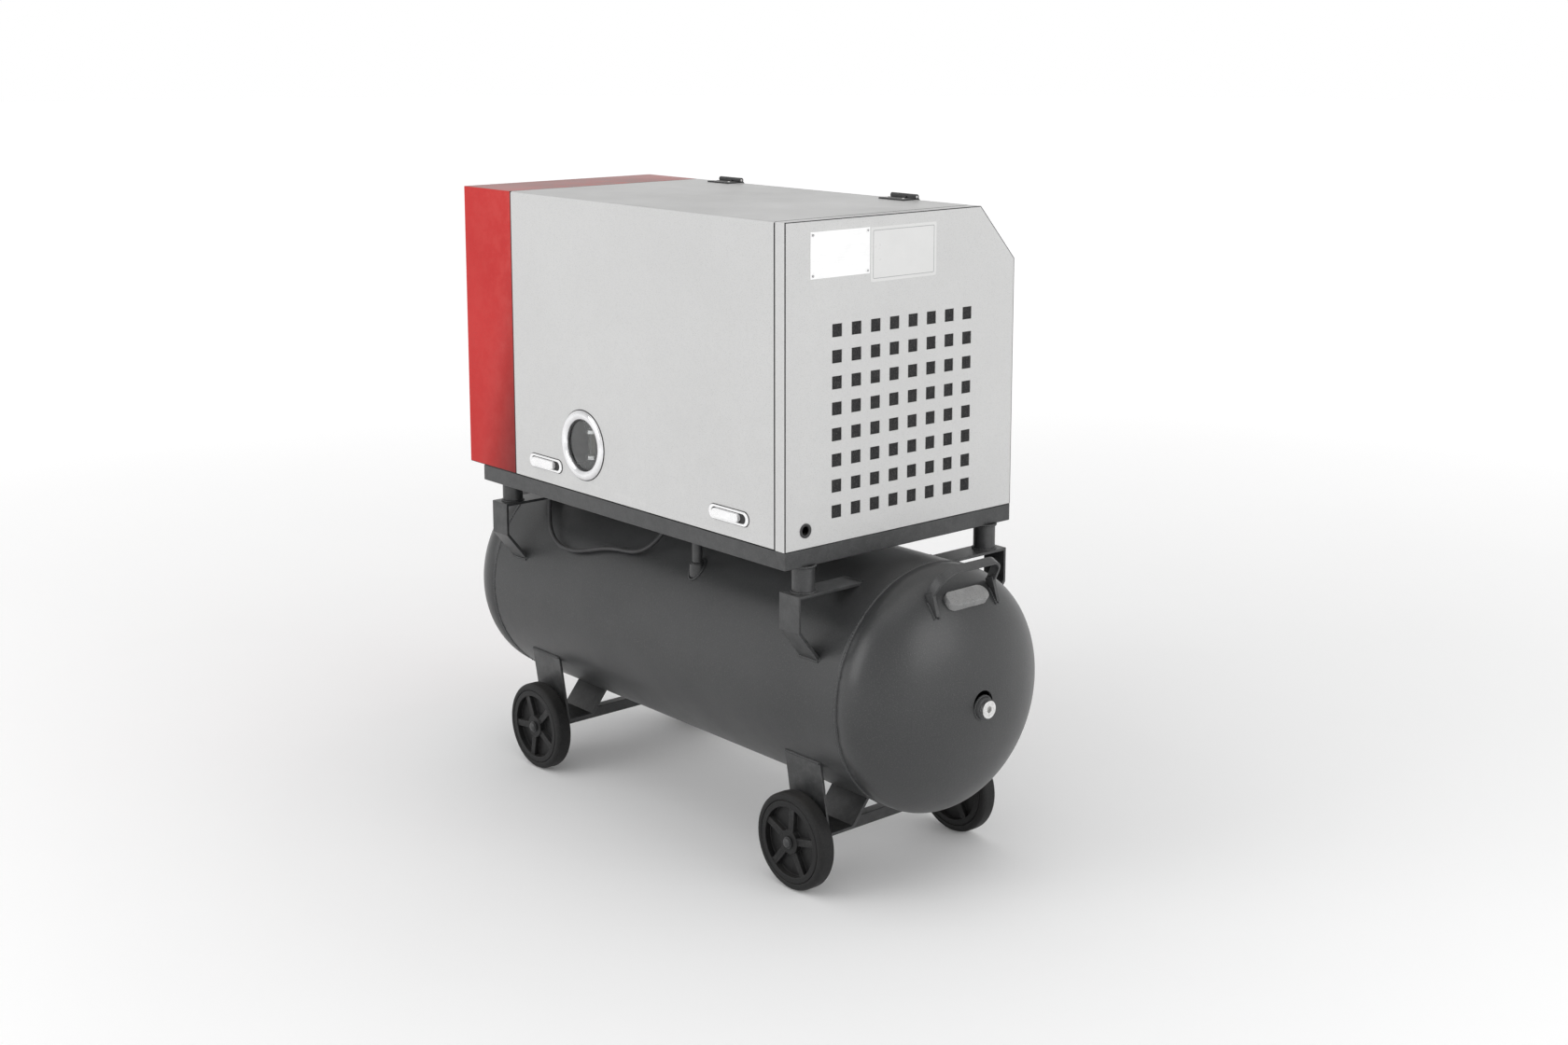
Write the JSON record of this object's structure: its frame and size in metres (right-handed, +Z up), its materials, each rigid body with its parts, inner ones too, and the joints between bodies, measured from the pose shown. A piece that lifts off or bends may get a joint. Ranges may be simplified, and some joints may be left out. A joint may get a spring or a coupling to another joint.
{
  "type": "wheeled screw air compressor",
  "caption": "Screw air compressor in a sheet-metal cabinet with a hinged hood, standing on a wheeled horizontal air receiver.",
  "frame": {"origin": "on the floor under the middle of the machine's bounding box", "axes": "+X along the receiver towards the air grille end, -Y towards the side with hood latches and window, +Z up"},
  "size_m": [1.534, 0.646, 1.367],
  "materials": {
    "black_paint": "satin",
    "grey_paint": "satin powder coat",
    "red_paint": "satin powder coat",
    "zinc": "zinc plated",
    "axle_steel": "turned",
    "rim_plastic": "moulded",
    "tyre_rubber": "solid rubber",
    "galvanised": "galvanised sheet",
    "hose_rubber": "smooth",
    "brass_fitting": "machined",
    "nickel": "nickel plated",
    "lever_paint": "dipped",
    "filter_foam": "open foam",
    "trim_plastic": "moulded",
    "chrome": "polished",
    "clear_window": "clear",
    "latch_silver": "silver",
    "hinge_plastic": "moulded",
    "plate_metal": "anodised",
    "motor_paint": "gloss",
    "cast_housing": "painted casting",
    "belt_rubber": "ribbed",
    "filter_paint": "gloss",
    "cooler_alu": "finned",
    "fan_plastic": "moulded",
    "switch_plastic": "moulded",
    "stop_red": "moulded"
  },
  "bodies": {
    "root": {"tank_shell": "black_paint", "tank_head_right": "black_paint", "tank_head_left": "black_paint", "lifting_handles": "black_paint", "plate_pad": "grey_paint", "end_plugs": "zinc", "wheel_brackets": "black_paint", "axle_beams": "black_paint", "axles": "axle_steel", "saddle_straps": "black_paint", "posts": "black_paint", "base_frame": "black_paint", "floor_pan": "galvanised", "delivery_pipe": "black_paint", "control_hose": "hose_rubber", "hose_fittings": "brass_fitting", "drain_body": "zinc", "outlet_valve": "nickel", "safety_valve": "brass_fitting", "end_hoop": "grey_paint", "bulkhead": "galvanised", "end_panel": "grey_paint", "filter_mat": "filter_foam", "cable_grommet": "trim_plastic", "far_panel": "grey_paint", "front_cover": "red_paint", "hinge_fixed_leaves": "hinge_plastic", "hinge_pins": "axle_steel", "rating_plate": "plate_metal", "motor_body": "motor_paint", "airend": "cast_housing", "drive_belts": "belt_rubber", "separator_tank": "black_paint", "sight_tube": "clear_window", "oil_filters": "filter_paint", "intake_filter": "trim_plastic", "cooler": "cooler_alu", "electrics_box": "switch_plastic", "control_panel": "trim_plastic"},
    "wheel_right_near": {"rim_right_near": "rim_plastic", "tyre_right_near": "tyre_rubber"},
    "wheel_right_far": {"rim_right_far": "rim_plastic", "tyre_right_far": "tyre_rubber"},
    "wheel_left_near": {"rim_left_near": "rim_plastic", "tyre_left_near": "tyre_rubber"},
    "wheel_left_far": {"rim_left_far": "rim_plastic", "tyre_left_far": "tyre_rubber"},
    "hood_body": {"hood": "grey_paint", "window_ring": "chrome", "window_glass": "clear_window", "latch_bezels": "latch_silver", "hinge_moving_leaves": "hinge_plastic"},
    "latch_left": {"latch_bar_left": "latch_silver"},
    "latch_right": {"latch_bar_right": "latch_silver"},
    "motor_rotor": {"motor_shaft": "axle_steel"},
    "airend_rotor": {"airend_shaft": "axle_steel"},
    "fan_rotor": {"fan": "fan_plastic"},
    "lever_body": {"outlet_lever": "lever_paint"},
    "drain_body_knob": {"drain_knob": "brass_fitting"},
    "stop_body": {"stop_button": "stop_red"}
  },
  "joints": [
    {"name": "wheel_right_near_roll", "type": "hinge", "parent": "root", "child": "wheel_right_near", "pos_m": [0.4575, -0.231, 0.1], "axis": [0, 1, 0], "continuous": true},
    {"name": "wheel_right_far_roll", "type": "hinge", "parent": "root", "child": "wheel_right_far", "pos_m": [0.4575, 0.231, 0.1], "axis": [0, 1, 0], "continuous": true},
    {"name": "wheel_left_near_roll", "type": "hinge", "parent": "root", "child": "wheel_left_near", "pos_m": [-0.4455, -0.231, 0.1], "axis": [0, 1, 0], "continuous": true},
    {"name": "wheel_left_far_roll", "type": "hinge", "parent": "root", "child": "wheel_left_far", "pos_m": [-0.4455, 0.231, 0.1], "axis": [0, 1, 0], "continuous": true},
    {"name": "hood_open", "type": "hinge", "parent": "root", "child": "hood_body", "pos_m": [0, 0.212, 1.3615], "axis": [-1, 0, 0], "range_deg": [0, 75]},
    {"name": "latch_left_pull", "type": "hinge", "parent": "hood_body", "child": "latch_left", "pos_m": [-0.3165, -0.312, 0.7655], "axis": [0, 0, -1], "range_deg": [0, 35], "stiffness_Nm_per_rad": 0.1},
    {"name": "latch_right_pull", "type": "hinge", "parent": "hood_body", "child": "latch_right", "pos_m": [0.3155, -0.312, 0.7655], "axis": [0, 0, -1], "range_deg": [0, 35], "stiffness_Nm_per_rad": 0.1},
    {"name": "motor_spin", "type": "hinge", "parent": "root", "child": "motor_rotor", "pos_m": [0.27, 0.158, 0.878], "axis": [0, 1, 0], "continuous": true},
    {"name": "airend_spin", "type": "hinge", "parent": "root", "child": "airend_rotor", "pos_m": [0.02, 0.158, 0.958], "axis": [0, 1, 0], "continuous": true},
    {"name": "fan_spin", "type": "hinge", "parent": "root", "child": "fan_rotor", "pos_m": [0.12, 0.18, 1.1305], "axis": [0, 1, 0], "continuous": true},
    {"name": "outlet_lever_turn", "type": "hinge", "parent": "root", "child": "lever_body", "pos_m": [-0.3, 0.281, 0.434], "axis": [0, 0, 1], "range_deg": [0, 90]},
    {"name": "drain_turn", "type": "hinge", "parent": "root", "child": "drain_body_knob", "pos_m": [-0.3, 0, 0.14], "axis": [0, 0, 1], "range_deg": [0, 360]},
    {"name": "stop_press", "type": "slide", "parent": "root", "child": "stop_body", "axis": [1, 0, 0], "range_m": [0, 0.005], "stiffness_N_per_m": 400}
  ],
  "couplings": [
    {"joint": "airend_spin", "follows": "motor_spin", "ratio": 1.4694}
  ]
}
